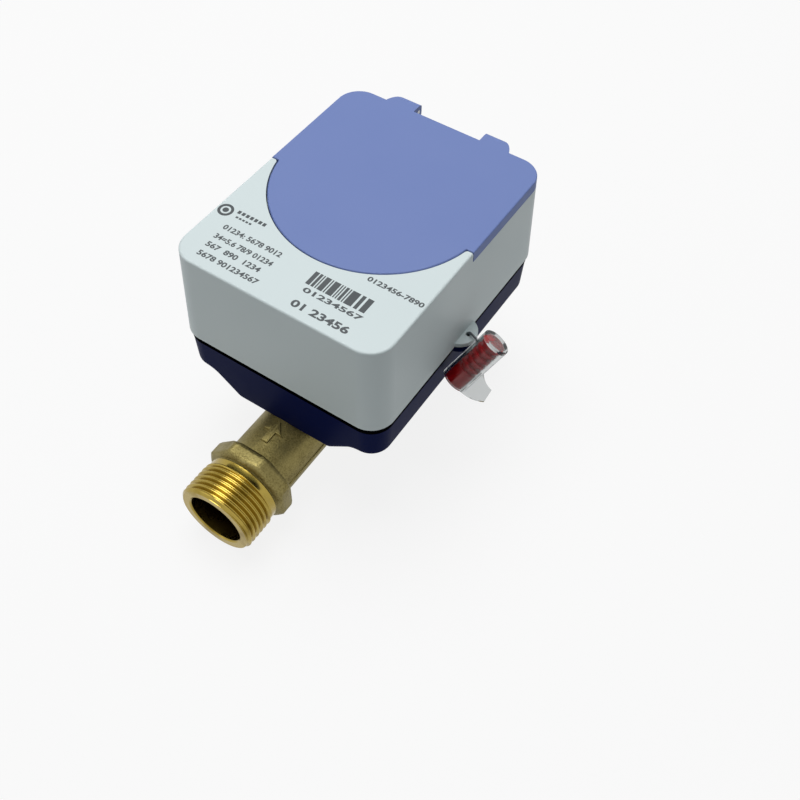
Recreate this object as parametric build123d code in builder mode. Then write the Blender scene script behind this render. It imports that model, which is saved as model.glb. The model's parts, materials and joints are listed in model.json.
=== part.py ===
from build123d import *
from math import atan2, cos, radians, sin, sqrt, tan
import os

# Ultrasonic water meter. Y runs along the flow from the centre of the inlet's sealing
# face, Z is up, and the display is read from the inlet side.

# Driving dimensions of the flow tube, mm
meter_length = 195.0
thread_radius = 16.62
thread_length = 15.3
thread_chamfer = 1.0
band_radius = 15.9
band_length = 2.7
groove_radius = 15.4
groove_length = 0.7
collar_radius = 18.7
collar_across_flats = 35.0
collar_sides = 8
collar_front_radius = 16.0
collar_slope_length = 1.6
collar_length = 7.0
collar_back_bevel = 0.6
tube_radius = 14.2
bore_radius = 10.0
mouth_radius = 11.9
mouth_depth = 16.0
mouth_chamfer = 0.6

# Driving dimensions of the casting's pad and sensor bosses
pad_top = 12.6
pad_bottom = 6.5
pad_width = 38.0
pad_length = 100.0
pad_corner = 6.0
sensor_spacing = 60.0
boss_radius = 13.5
boss_top = 24.0
pocket_radius = 9.0
pocket_floor = 12.0
port_radius = 7.0

# Driving dimensions of the casing
casing_centre = 102.2
cover_top = 83.0
seam_height = 41.5
top_width = 90.5
top_length = 115.5
casing_corner = 10.0
draft_slope = 0.034
cover_wall = 2.6
cover_edge_radius = 0.8
seam_gap = 0.8
base_set_in = 0.75
base_draft_slope = 0.04
base_edge_radius = 2.0
tube_gap = 0.3
base_wall = 3.2
tub_floor = 23.0
keel_half_width = 22.0
keel_shoulder = 34.0
keel_corner = 4.0
keel_blend = 10.0
tongue_height = 2.5
tongue_thickness = 1.2
tongue_clearance = 0.2
gasket_inset = 1.3

# Driving dimensions of the lid, its seat and its hinge
lid_thickness = 4.4
lid_rise = 0.1
lid_arc_radius = 43.0
lid_arc_centre = 114.0
lid_shoulder = 105.4
lid_gap = 0.45
lid_rest_gap = 0.1
lid_edge_radius = 0.5
lid_skin = 1.8
lid_rim = 1.8
lid_rib = 1.2
lid_rib_spacing = 22.0
horn_round = 1.2
deck_thickness = 3.1
hinge_behind = 3.6
hinge_drop = 3.0
knuckle_radius = 3.0
knuckle_inner = 15.4
knuckle_full = 19.5
knuckle_tip = 28.6
knuckle_corner = 1.0
web_height = 3.8
cheek_thickness = 2.0
ear_radius = 1.95
ear_width = 2.8
ear_side_gap = 0.3
ear_hood_gap = 0.2
pin_radius = 1.0
pin_clearance = 0.05
pin_length = 6.8
ear_neck_height = 8.0
ear_neck_front = 200.0
ear_neck_back = 245.0

# Driving dimensions of the display, its board and the power supply
window_width = 60.0
window_depth = 36.0
window_thickness = 2.0
window_ledge = 3.0
window_corner = 3.0
window_gap = 0.15
window_centre = 114.0
lcd_thickness = 2.8
lcd_ledge = 2.0
lcd_frame_height = 2.6
board_width = 72.0
board_length = 88.0
board_thickness = 1.6
board_drop = 5.8
board_post_radius = 3.0
board_post_x = 31.0
board_post_y = 39.0
battery_radius = 13.0
battery_length = 50.0
battery_x = -27.0
battery_height = 43.5
battery_y = 95.2
cradle_spacing = 30.0
cradle_thickness = 3.0
cradle_top = 40.0
cradle_half_width = 14.6
clip_thickness = 1.2
clip_gap = 0.1
terminal_radius = 3.0
terminal_height = 1.5
battery_edge = 1.0

# Driving dimensions of the fasteners
casing_screw_inset = 7.5
casing_screw_radius = 1.45
casing_head_radius = 2.9
casing_head_height = 2.2
casing_screw_length = 12.0
casing_post_radius = 3.7
head_recess_gap = 0.3
base_screw_x = 14.0
base_screw_y = 45.0
base_screw_radius = 1.95
base_head_radius = 3.4
base_head_height = 3.0
base_screw_depth = 5.0
hole_clearance = 0.25
board_screw_radius = 1.1
board_head_radius = 2.1
board_head_height = 1.6
board_screw_length = 6.0

# Driving dimensions of the sensors, mirrors and leads
nose_length = 2.4
nose_clearance = 0.1
seal_ring_height = 1.6
seal_ring_width = 1.8
flange_height = 2.4
sensor_body_radius = 5.9
sensor_body_height = 4.6
sensor_stem_radius = 1.6
sensor_stem_height = 2.2
ring_height = 4.6
ring_slot = 2.0
insert_clearance = 0.1
throat_radius = 6.5
mirror_radius = 5.2
mirror_thickness = 1.0
mirror_seat_half_width = 5.6
lead_radius = 0.9
socket_x = 10.0
socket_width = 9.0
socket_length = 6.0
socket_height = 5.0
lead_slack = 6.0
lead_bend = 5.0
chip_place = (10.0, -24.0)
chip_width = 12.0
chip_height = 1.4
radio_place = (25.0, 0.0)
radio_width = 14.0
radio_length = 22.0
radio_height = 2.6
capacitor_place = (22.0, 24.0)
capacitor_radius = 7.0
capacitor_length = 20.0
antenna_place = (25.0, -14.0)
antenna_width = 1.5
antenna_thickness = 0.6
antenna_rise = 8.0
antenna_reach = 24.0

# Driving dimensions of the security seal
lug_radius = 7.3
lug_centre_x = 44.4
lug_thickness = 2.0
lug_hole_x = 48.5
lug_hole_radius = 1.1
seal_azimuth = 50.0
seal_elevation = 50.0
flag_roll = 40.0
seal_radius = 5.8
seal_length = 24.0
seal_bore_radius = 4.5
seal_cap = 2.0
seal_foot_x = 51.6
seal_foot_y = 88.9
seal_foot_z = 31.0
seal_edge = 0.6
rotor_radius = 4.3
rotor_core_radius = 2.9
rotor_head = 7.5
rotor_rib = 1.0
rotor_rib_count = 5
flag_thickness = 1.2
flag_corner_low = (13.8, 2.8)
flag_corner_high = (12.4, 8.2)
flag_bulge_low = (8.6, -0.7)
flag_bulge_high = (8.3, 8.8)
flag_root_low = -1.6
flag_root_high = 12.0
wire_radius = 0.45
wire_rise = 1.7
wire_bend = 1.5
wire_high_station = 18.5
wire_low_station = 7.0
wire_channel_gap = 0.15


# Heights and places that follow from the driving dimensions
collar_start = thread_length + band_length + groove_length
collar_end = collar_start + collar_length
base_rim = seam_height - seam_gap
seat_height = cover_top - lid_thickness - lid_rest_gap
deck_bottom = seat_height - deck_thickness
board_top = deck_bottom - board_drop
board_bottom = board_top - board_thickness
casing_back = casing_centre + top_length / 2
casing_screw_x = top_width / 2 - casing_screw_inset
casing_screw_y = top_length / 2 - casing_screw_inset
lid_top = cover_top + lid_rise
lug_y = casing_centre
hinge_y = casing_back + hinge_behind
hinge_z = lid_top - hinge_drop
sensor_stations = {
    "inlet": casing_centre - sensor_spacing / 2,
    "outlet": casing_centre + sensor_spacing / 2,
}
keel_slope = atan2(tub_floor - pad_top, keel_shoulder - keel_half_width)
casing_section = Plane((0, casing_centre, 0), x_dir=(1, 0, 0), z_dir=(0, -1, 0))
far = 2 * top_length


def level(height):
    """Horizontal plane at a height, centred on the casing."""
    return Plane((0, casing_centre, height))


def casing_outline(height, inset=0.0, mode=Mode.ADD):
    """Rounded rectangle of the drafted casing at a height, set in by inset."""
    grow = (cover_top - height) * draft_slope - inset
    RectangleRounded(top_width + 2 * grow, top_length + 2 * grow, casing_corner - inset, mode=mode)


def base_inset(height):
    """How far the base's outer wall stands in from the cover's outline at the seam."""
    return base_set_in + (base_rim - height) * base_draft_slope


def lid_shape(gap):
    """D-shaped plan of the lid: a disc that widens to the whole casing behind it."""
    with Locations((0, lid_arc_centre - casing_centre)):
        Circle(lid_arc_radius + gap)
    with Locations((0, lid_shoulder - gap - casing_centre)):
        Rectangle(far, far, align=(Align.CENTER, Align.MIN))


def corner_places(x, y):
    """The four places at plus and minus x and y about the casing's centre."""
    return GridLocations(2 * x, 2 * y, 2, 2)


def finish(builder, label):
    """Name a finished piece and write it."""
    builder.part.label = label
    export_step(builder.part, f"parts/{label}.step")
    print(f"{label}: {builder.part.volume / 1000:.2f} cm3")


os.makedirs("parts", exist_ok=True)

# Collar of the casting: a ring with a sloped front and flats for a spanner
with BuildPart() as collar_blank:
    with BuildSketch(Plane.XY):
        with BuildLine():
            Polyline(
                (0, collar_start),
                (collar_front_radius, collar_start),
                (collar_radius, collar_start + collar_slope_length),
                (collar_radius, collar_end - collar_back_bevel),
                (collar_radius - collar_back_bevel, collar_end),
                (0, collar_end),
                close=True,
            )
        make_face()
    revolve(axis=Axis.Y)
    with BuildSketch(Plane.XZ.offset(-collar_start)):
        RegularPolygon(
            collar_across_flats / 2,
            collar_sides,
            major_radius=False,
            rotation=180 / collar_sides,
        )
    extrude(amount=-collar_length, mode=Mode.INTERSECT)

# Half of the tube's outside, from the sealing face to the middle
with BuildPart() as tube_half:
    with BuildSketch(Plane.XY):
        with BuildLine():
            Polyline(
                (0, 0),
                (thread_radius - thread_chamfer, 0),
                (thread_radius, thread_chamfer),
                (thread_radius, thread_length),
                (band_radius, thread_length),
                (band_radius, thread_length + band_length),
                (groove_radius, thread_length + band_length),
                (groove_radius, collar_start),
                (tube_radius, collar_start),
                (tube_radius, meter_length / 2),
                (0, meter_length / 2),
                close=True,
            )
        make_face()
    revolve(axis=Axis.Y)
    add(collar_blank.part)

# Flow tube: one brass casting with a mounting pad and two sensor bosses on its back
with BuildPart() as flow_tube:
    add(tube_half.part)
    mirror(about=Plane.XZ.offset(-meter_length / 2))
    with BuildSketch(level(pad_bottom)):
        RectangleRounded(pad_width, pad_length, pad_corner)
    extrude(amount=pad_top - pad_bottom)
    with BuildSketch(level(0)):
        with GridLocations(0, sensor_spacing, 1, 2):
            Circle(boss_radius)
    extrude(amount=boss_top)
    with BuildSketch(Plane.XY):
        with BuildLine():
            Polyline(
                (0, 0),
                (mouth_radius + mouth_chamfer, 0),
                (mouth_radius, mouth_chamfer),
                (mouth_radius, mouth_depth),
                (bore_radius, mouth_depth + mouth_radius - bore_radius),
                (bore_radius, meter_length - mouth_depth - mouth_radius + bore_radius),
                (mouth_radius, meter_length - mouth_depth),
                (mouth_radius, meter_length - mouth_chamfer),
                (mouth_radius + mouth_chamfer, meter_length),
                (0, meter_length),
                close=True,
            )
        make_face()
    revolve(axis=Axis.Y, mode=Mode.SUBTRACT)
    with BuildSketch(level(0)):
        with GridLocations(0, sensor_spacing, 1, 2):
            Circle(port_radius)
    extrude(amount=boss_top, mode=Mode.SUBTRACT)
    with BuildSketch(level(pocket_floor)):
        with GridLocations(0, sensor_spacing, 1, 2):
            Circle(pocket_radius)
    extrude(amount=boss_top - pocket_floor, mode=Mode.SUBTRACT)
    with BuildSketch(level(pad_top)):
        with corner_places(base_screw_x, base_screw_y):
            Circle(base_screw_radius)
    extrude(amount=-base_screw_depth, mode=Mode.SUBTRACT)
finish(flow_tube, "flow_tube")

# Measuring insert: a throat between the sensors, with a sloped seat under each of them
insert_radius = bore_radius - insert_clearance
throat_start = sensor_stations["inlet"] + insert_radius
throat_end = sensor_stations["outlet"] - insert_radius
mirror_back = mirror_thickness * sqrt(2)
with BuildPart() as measuring_insert:
    with BuildSketch(Plane.XZ.offset(-throat_start)):
        Circle(insert_radius)
        Circle(throat_radius, mode=Mode.SUBTRACT)
    extrude(amount=throat_start - throat_end)
    with BuildSketch(Plane.YZ):
        for station, way in ((sensor_stations["inlet"], 1), (sensor_stations["outlet"], -1)):
            with BuildLine():
                Polyline(
                    (station + way * insert_radius, -insert_radius),
                    (station + way * (throat_radius - mirror_back), -throat_radius),
                    (station - way * throat_radius, throat_radius - mirror_back),
                    (station - way * insert_radius, throat_radius - mirror_back),
                    (station - way * insert_radius, -insert_radius),
                    close=True,
                )
            make_face()
        with Locations((casing_centre, -(insert_radius + throat_radius) / 2)):
            Rectangle(sensor_spacing, insert_radius - throat_radius)
    extrude(amount=mirror_seat_half_width, both=True)
    with BuildSketch(Plane.XZ.offset(-throat_start + far / 2)):
        Circle(insert_radius)
    extrude(amount=-far, mode=Mode.INTERSECT)
    with BuildSketch(Plane.XZ.offset(-throat_start)):
        Circle(throat_radius)
    extrude(amount=throat_start - throat_end, mode=Mode.SUBTRACT)
finish(measuring_insert, "measuring_insert")

# Steel mirrors that turn the sound from the sensors along the throat
for name, way in (("inlet", 1), ("outlet", -1)):
    mirror_plane = Plane((0, sensor_stations[name], 0), x_dir=(1, 0, 0), z_dir=(0, way, 1))
    with BuildPart() as mirror_disc:
        with BuildSketch(mirror_plane):
            Circle(mirror_radius)
        extrude(amount=-mirror_thickness)
    finish(mirror_disc, f"{name}_mirror")

# Sensors, their sealing rings and the rings that hold them in the bosses
flange_bottom = pocket_floor + seal_ring_height
flange_top = flange_bottom + flange_height
stem_bottom = flange_top + sensor_body_height
stem_top = stem_bottom + sensor_stem_height
for name, station in sensor_stations.items():
    pocket = Plane((0, station, 0))
    with BuildPart() as sensor:
        with BuildSketch(pocket.offset(pocket_floor - nose_length)):
            Circle(port_radius - nose_clearance)
        extrude(amount=nose_length + seal_ring_height)
        with BuildSketch(pocket.offset(flange_bottom)):
            Circle(pocket_radius - nose_clearance)
        extrude(amount=flange_height)
        with BuildSketch(pocket.offset(flange_top)):
            Circle(sensor_body_radius)
        extrude(amount=sensor_body_height)
        with BuildSketch(pocket.offset(stem_bottom)):
            Circle(sensor_stem_radius)
        extrude(amount=sensor_stem_height)
    finish(sensor, f"{name}_sensor")

    with BuildPart() as seal_ring:
        with BuildSketch(pocket.offset(pocket_floor)):
            Circle(pocket_radius - nose_clearance)
            Circle(pocket_radius - nose_clearance - seal_ring_width, mode=Mode.SUBTRACT)
        extrude(amount=seal_ring_height)
        fillet(edges(), seal_ring_height / 4)
    finish(seal_ring, f"{name}_sensor_seal")

    with BuildPart() as holding_ring:
        with BuildSketch(pocket.offset(flange_top)):
            Circle(pocket_radius - nose_clearance)
            Circle(sensor_body_radius + nose_clearance, mode=Mode.SUBTRACT)
        extrude(amount=ring_height)
        with BuildSketch(pocket.offset(flange_top + ring_height)):
            Rectangle(2 * pocket_radius, ring_slot)
            Rectangle(ring_slot, 2 * pocket_radius)
        extrude(amount=-ring_slot, mode=Mode.SUBTRACT)
    finish(holding_ring, f"{name}_holding_ring")

# Space inside the base: the tub and its keel, less the posts and the battery's cradle
base_inner = base_set_in + base_wall
head_seat = tub_floor + casing_head_height + head_recess_gap
inner_shift = base_wall * tan(keel_slope / 2)


def keel_section(inset, shift):
    """Section of the tub across the flow, with the keel that saddles the tube."""
    floor = tub_floor + inset
    keel = pad_top + inset
    blend = keel_blend + inset
    corner = keel_corner - inset
    with BuildSketch(casing_section) as section:
        with BuildLine():
            FilletPolyline(
                (-far, floor),
                (shift - keel_shoulder, floor),
                (shift - keel_half_width, keel),
                (keel_half_width - shift, keel),
                (keel_shoulder - shift, floor),
                (far, floor),
                radius=[blend, corner, corner, blend],
            )
            Polyline((far, floor), (far, base_rim), (-far, base_rim), (-far, floor))
        make_face()
    return section.sketch


with BuildPart() as base_space:
    extrude(keel_section(base_wall, inner_shift), amount=far, both=True)
    with BuildSketch(level(pad_top)):
        casing_outline(seam_height, base_inner + (base_rim - pad_top) * base_draft_slope)
    with BuildSketch(level(base_rim)):
        casing_outline(seam_height, base_inner)
    loft(mode=Mode.INTERSECT)
    with BuildSketch(level(0)):
        with corner_places(casing_screw_x, casing_screw_y):
            Circle(casing_post_radius)
    extrude(amount=far, mode=Mode.SUBTRACT)
    for offset_y in (-cradle_spacing / 2, cradle_spacing / 2):
        with BuildSketch(Plane.XZ.offset(-battery_y - offset_y)):
            with Locations((battery_x, 0)):
                Rectangle(2 * cradle_half_width, cradle_top, align=(Align.CENTER, Align.MIN))
            with Locations((battery_x, battery_height)):
                Circle(battery_radius, mode=Mode.SUBTRACT)
        extrude(amount=cradle_thickness / 2, both=True, mode=Mode.SUBTRACT)

# Base: the dark tub that sits on the casting's pad and carries the board's battery
with BuildPart() as base_housing:
    extrude(keel_section(0, 0), amount=far, both=True)
    with BuildSketch(level(pad_top)):
        casing_outline(seam_height, base_inset(pad_top))
    with BuildSketch(level(base_rim)):
        casing_outline(seam_height, base_inset(base_rim))
    loft(mode=Mode.INTERSECT)
    near_floor = (tub_floor - base_edge_radius, tub_floor + base_edge_radius)
    floor_lines = edges().filter_by(Axis.Y).filter_by_position(Axis.Z, *near_floor).group_by(Axis.X)
    fillet(floor_lines[0] + floor_lines[-1], base_edge_radius)
    with BuildSketch(Plane((0, 0, base_rim))):
        with Locations((lug_centre_x, lug_y)):
            Circle(lug_radius)
    extrude(amount=-lug_thickness)
    add(base_space.part, mode=Mode.SUBTRACT)
    with BuildSketch(level(base_rim)):
        casing_outline(seam_height, cover_wall + tongue_clearance)
        casing_outline(seam_height, cover_wall + tongue_clearance + tongue_thickness, mode=Mode.SUBTRACT)
    extrude(amount=tongue_height)
    with BuildSketch(level(base_rim)):
        with corner_places(casing_screw_x, casing_screw_y):
            Circle(casing_post_radius)
    extrude(amount=tongue_height)
    with BuildSketch(level(head_seat)):
        with corner_places(casing_screw_x, casing_screw_y):
            Circle(casing_head_radius + head_recess_gap)
    extrude(amount=-base_rim, mode=Mode.SUBTRACT)
    with BuildSketch(level(tub_floor)):
        with corner_places(casing_screw_x, casing_screw_y):
            Circle(casing_screw_radius + hole_clearance)
    extrude(amount=far, mode=Mode.SUBTRACT)
    with BuildSketch(casing_section):
        Circle(tube_radius + tube_gap)
    extrude(amount=far, both=True, mode=Mode.SUBTRACT)
    with BuildSketch(level(pad_top)):
        with GridLocations(0, sensor_spacing, 1, 2):
            Circle(boss_radius + tube_gap)
        with corner_places(base_screw_x, base_screw_y):
            Circle(base_screw_radius + hole_clearance)
    extrude(amount=base_wall, mode=Mode.SUBTRACT)
    with BuildSketch(Plane((0, 0, base_rim))):
        with Locations((lug_hole_x, lug_y)):
            Circle(lug_hole_radius)
    extrude(amount=-lug_thickness, mode=Mode.SUBTRACT)
finish(base_housing, "base_housing")

# Gasket that closes the seam, and shows as a dark line round the casing
with BuildPart() as casing_gasket:
    with BuildSketch(level(base_rim)):
        casing_outline(seam_height, gasket_inset)
        casing_outline(seam_height, cover_wall, mode=Mode.SUBTRACT)
    extrude(amount=seam_gap)
finish(casing_gasket, "casing_gasket")

# Hinge line on the right side; the left side mirrors it
hinge_section = Plane.YZ
slot_start = knuckle_inner + cheek_thickness
slot_width = ear_width + 2 * ear_side_gap
ear_start = slot_start + ear_side_gap
hood_radius = ear_radius + ear_hood_gap
knuckle_back = hinge_y + knuckle_radius
neck_front = radians(ear_neck_front)
neck_back = radians(ear_neck_back)

# Ear of the cover that the lid's knuckle turns on
with BuildPart() as hinge_ear:
    with BuildSketch(hinge_section.offset(ear_start)):
        with BuildLine():
            Polyline(
                (casing_back - cover_wall / 2, hinge_z - ear_neck_height),
                (casing_back - cover_wall / 2, hinge_z - knuckle_radius),
                (hinge_y + ear_radius * cos(neck_front), hinge_z + ear_radius * sin(neck_front)),
                (hinge_y, hinge_z),
                (hinge_y + ear_radius * cos(neck_back), hinge_z + ear_radius * sin(neck_back)),
                close=True,
            )
        make_face()
        with Locations((hinge_y, hinge_z)):
            Circle(ear_radius)
            Circle(pin_radius + pin_clearance, mode=Mode.SUBTRACT)
    extrude(amount=ear_width)

# Knuckle of the lid: two cheeks on the pin, a hood over the ear and a faired outer end
with BuildPart() as lid_knuckle:
    with BuildSketch(hinge_section.offset(knuckle_inner)):
        with Locations((hinge_y, hinge_z)):
            Circle(knuckle_radius)
        with Locations((hinge_y, lid_top)):
            Rectangle(hinge_behind + lid_rim, web_height, align=(Align.MAX, Align.MAX))
    extrude(amount=knuckle_tip - knuckle_inner)
    with BuildSketch(Plane.XY):
        with BuildLine():
            TangentArc(
                (knuckle_inner, knuckle_back - knuckle_corner),
                (knuckle_inner + knuckle_corner, knuckle_back),
                tangent=(0, 1),
            )
            Line((knuckle_inner + knuckle_corner, knuckle_back), (knuckle_full, knuckle_back))
            TangentArc((knuckle_full, knuckle_back), (knuckle_tip, casing_back), tangent=(1, 0))
            Polyline(
                (knuckle_tip, casing_back),
                (knuckle_tip, casing_back - lid_rim),
                (knuckle_inner, casing_back - lid_rim),
                (knuckle_inner, knuckle_back - knuckle_corner),
            )
        make_face()
    extrude(amount=lid_top, mode=Mode.INTERSECT)
    with BuildSketch(hinge_section.offset(slot_start)):
        with Locations((hinge_y, hinge_z)):
            Circle(hood_radius)
        with Locations((hinge_y - hinge_behind, hinge_z)):
            Rectangle(far, far, align=(Align.MIN, Align.MAX))
    extrude(amount=slot_width, mode=Mode.SUBTRACT)
    with BuildSketch(hinge_section.offset(knuckle_inner)):
        with Locations((hinge_y, hinge_z)):
            Circle(pin_radius)
    extrude(amount=pin_length, mode=Mode.SUBTRACT)

# Space inside the cover, less the posts that hang in it
cover_ceiling = cover_top - cover_wall
post_foot = base_rim + tongue_height
with BuildPart() as cover_space:
    with BuildSketch(level(seam_height)):
        casing_outline(seam_height, cover_wall)
    with BuildSketch(level(deck_bottom)):
        casing_outline(deck_bottom, cover_wall)
    loft()
    with BuildSketch(level(deck_bottom)):
        casing_outline(cover_top, cover_wall)
        with BuildSketch(level(deck_bottom), mode=Mode.SUBTRACT):
            lid_shape(lid_gap + cover_wall)
    extrude(amount=cover_ceiling - deck_bottom)
    with BuildSketch(level(post_foot)):
        with corner_places(casing_screw_x, casing_screw_y):
            Circle(casing_post_radius)
    extrude(amount=far, mode=Mode.SUBTRACT)
    with BuildSketch(level(board_top)):
        with corner_places(board_post_x, board_post_y):
            Circle(board_post_radius)
    extrude(amount=far, mode=Mode.SUBTRACT)

# Cover: the pale upper shell with the lid's seat, the window's pocket and the hinge ears
with BuildPart() as top_cover:
    with BuildSketch(level(seam_height)):
        casing_outline(seam_height)
    with BuildSketch(level(cover_top)):
        casing_outline(cover_top)
    loft()
    fillet(edges().group_by(Axis.Z)[-1], cover_edge_radius)
    with BuildSketch(Plane((0, 0, seam_height))):
        with Locations((lug_centre_x, lug_y)):
            Circle(lug_radius)
    extrude(amount=lug_thickness)
    with BuildSketch(level(seat_height)):
        lid_shape(lid_gap)
    extrude(amount=far, mode=Mode.SUBTRACT)
    horn_tips = edges().filter_by(Axis.Z).filter_by_position(
        Axis.Y, lid_shoulder - lid_gap - horn_round, lid_shoulder - lid_gap + horn_round
    )
    fillet(horn_tips, horn_round)
    add(hinge_ear.part)
    add(mirror(hinge_ear.part, about=Plane.YZ, mode=Mode.PRIVATE))
    add(cover_space.part, mode=Mode.SUBTRACT)
    with BuildSketch(Plane((0, window_centre, seat_height))):
        RectangleRounded(window_width, window_depth, window_corner)
    extrude(amount=-window_thickness - lid_rest_gap, mode=Mode.SUBTRACT)
    with BuildSketch(Plane((0, window_centre, seat_height))):
        RectangleRounded(window_width - 2 * window_ledge, window_depth - 2 * window_ledge, window_corner)
    extrude(amount=-deck_thickness, mode=Mode.SUBTRACT)
    with BuildSketch(level(post_foot)):
        with corner_places(casing_screw_x, casing_screw_y):
            Circle(casing_screw_radius)
    extrude(amount=casing_screw_length, mode=Mode.SUBTRACT)
    with BuildSketch(level(board_top)):
        with corner_places(board_post_x, board_post_y):
            Circle(board_screw_radius)
    extrude(amount=board_screw_length, mode=Mode.SUBTRACT)
    with BuildSketch(Plane((0, 0, seam_height))):
        with Locations((lug_hole_x, lug_y)):
            Circle(lug_hole_radius)
    extrude(amount=lug_thickness, mode=Mode.SUBTRACT)
finish(top_cover, "top_cover")

# Lid: a shallow D-shaped shell, ribbed inside, with a knuckle near each back corner
lid_bottom = cover_top - lid_thickness
with BuildPart() as display_lid:
    with BuildSketch(level(lid_bottom)):
        casing_outline(lid_bottom)
    with BuildSketch(level(lid_top)):
        casing_outline(lid_top)
    loft()
    with BuildSketch(level(lid_bottom)):
        lid_shape(0)
    extrude(amount=far, mode=Mode.INTERSECT)
    fillet(edges().group_by(Axis.Z)[-1], lid_edge_radius)
    with BuildSketch(level(lid_bottom)):
        lid_shape(-lid_rim)
        casing_outline(lid_bottom, lid_rim, mode=Mode.INTERSECT)
        with GridLocations(lid_rib_spacing, 0, 3, 1):
            Rectangle(lid_rib, far, mode=Mode.SUBTRACT)
    extrude(amount=lid_thickness - lid_skin, mode=Mode.SUBTRACT)
    add(lid_knuckle.part)
    add(mirror(lid_knuckle.part, about=Plane.YZ, mode=Mode.PRIVATE))
finish(display_lid, "display_lid")

# Hinge pins, pressed into the lid's cheeks and running in the cover's ears
for name, start, way in (("left", -knuckle_inner, -1), ("right", knuckle_inner, 1)):
    with BuildPart() as hinge_pin:
        with BuildSketch(hinge_section.offset(start)):
            with Locations((hinge_y, hinge_z)):
                Circle(pin_radius)
        extrude(amount=way * pin_length)
    finish(hinge_pin, f"{name}_hinge_pin")

# Window over the display, seated in the pocket of the cover's deck
with BuildPart() as display_window:
    with BuildSketch(Plane((0, window_centre, seat_height - lid_rest_gap))):
        RectangleRounded(window_width - 2 * window_gap, window_depth - 2 * window_gap, window_corner)
    extrude(amount=-window_thickness)
finish(display_window, "display_window")

# Display panel and the frame that holds it on the board
panel_width = window_width - 2 * window_ledge + lcd_ledge
panel_depth = window_depth - 2 * window_ledge + lcd_ledge
with BuildPart() as lcd_frame:
    with BuildSketch(Plane((0, window_centre, board_top))):
        RectangleRounded(panel_width + 2 * lcd_ledge, panel_depth + 2 * lcd_ledge, lcd_ledge)
        Rectangle(panel_width - 2 * lcd_ledge, panel_depth - 2 * lcd_ledge, mode=Mode.SUBTRACT)
    extrude(amount=lcd_frame_height)
finish(lcd_frame, "lcd_frame")

with BuildPart() as lcd_panel:
    with BuildSketch(Plane((0, window_centre, board_top + lcd_frame_height))):
        Rectangle(panel_width, panel_depth)
    extrude(amount=lcd_thickness)
finish(lcd_panel, "lcd_panel")

# Circuit board, screwed to the posts under the cover's deck
with BuildPart() as circuit_board:
    with BuildSketch(level(board_bottom)):
        RectangleRounded(board_width, board_length, board_post_radius)
        with corner_places(board_post_x, board_post_y):
            Circle(board_screw_radius + hole_clearance, mode=Mode.SUBTRACT)
    extrude(amount=board_thickness)
finish(circuit_board, "circuit_board")

# Parts soldered under the board
with BuildPart() as flow_processor:
    with BuildSketch(level(board_bottom)):
        with Locations(chip_place):
            Rectangle(chip_width, chip_width)
    extrude(amount=-chip_height)
finish(flow_processor, "flow_processor")

with BuildPart() as radio_module:
    with BuildSketch(level(board_bottom)):
        with Locations(radio_place):
            Rectangle(radio_width, radio_length)
    extrude(amount=-radio_height)
finish(radio_module, "radio_module")

with BuildPart() as pulse_capacitor:
    capacitor_y = casing_centre + capacitor_place[1]
    with BuildSketch(Plane.XZ.offset(-capacitor_y)):
        with Locations((capacitor_place[0], board_bottom - capacitor_radius)):
            Circle(capacitor_radius)
    extrude(amount=capacitor_length / 2, both=True)
finish(pulse_capacitor, "pulse_capacitor")

with BuildPart() as radio_antenna:
    antenna_y = casing_centre + antenna_place[1]
    with BuildSketch(Plane.YZ.offset(antenna_place[0])):
        with BuildLine():
            Polyline(
                (antenna_y, board_bottom),
                (antenna_y, board_bottom - antenna_rise),
                (antenna_y - antenna_reach, board_bottom - antenna_rise),
                (antenna_y - antenna_reach, board_bottom - antenna_rise + antenna_thickness),
                (antenna_y - antenna_thickness, board_bottom - antenna_rise + antenna_thickness),
                (antenna_y - antenna_thickness, board_bottom),
                close=True,
            )
        make_face()
    extrude(amount=antenna_width)
finish(radio_antenna, "radio_antenna")

with BuildPart() as lead_socket:
    with BuildSketch(level(board_bottom)):
        with Locations((socket_x, 0)):
            Rectangle(socket_width, socket_length)
    extrude(amount=-socket_height)
finish(lead_socket, "lead_socket")

# Leads from the sensors up to the socket, with a little slack
for name, side in (("inlet", -1), ("outlet", 1)):
    socket_end_y = casing_centre + side * socket_length / 4
    turn_height = (stem_top + board_bottom) / 2
    with BuildPart() as lead:
        with BuildLine() as lead_path:
            FilletPolyline(
                (0, sensor_stations[name], stem_top),
                (0, sensor_stations[name], stem_top + 2 * lead_slack),
                (socket_x, socket_end_y, turn_height + lead_slack),
                (socket_x, socket_end_y, board_bottom - socket_height),
                radius=lead_bend,
            )
        with BuildSketch(Plane((0, sensor_stations[name], stem_top))):
            Circle(lead_radius)
        sweep(path=lead_path.line)
    finish(lead, f"{name}_lead")

# Battery cell in the base's cradle, and the clip that holds it down
with BuildPart() as battery:
    with BuildSketch(Plane.XZ.offset(-battery_y)):
        with Locations((battery_x, battery_height)):
            Circle(battery_radius)
    extrude(amount=battery_length / 2, both=True)
    fillet(edges(), battery_edge)
    with BuildSketch(Plane.XZ.offset(-battery_y - battery_length / 2)):
        with Locations((battery_x, battery_height)):
            Circle(terminal_radius)
    extrude(amount=-terminal_height)
finish(battery, "battery")

with BuildPart() as battery_clip:
    with BuildSketch(Plane.XZ.offset(-battery_y - cradle_spacing / 2)):
        with Locations((battery_x, battery_height)):
            Circle(battery_radius + clip_gap + clip_thickness)
        with Locations((battery_x, cradle_top)):
            Rectangle(2 * cradle_half_width, clip_thickness, align=(Align.CENTER, Align.MIN))
        with Locations((battery_x, battery_height)):
            Circle(battery_radius + clip_gap, mode=Mode.SUBTRACT)
        with Locations((battery_x, cradle_top)):
            Rectangle(far, far, align=(Align.CENTER, Align.MAX), mode=Mode.SUBTRACT)
    extrude(amount=cradle_thickness / 2, both=True)
finish(battery_clip, "battery_clip")


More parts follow.
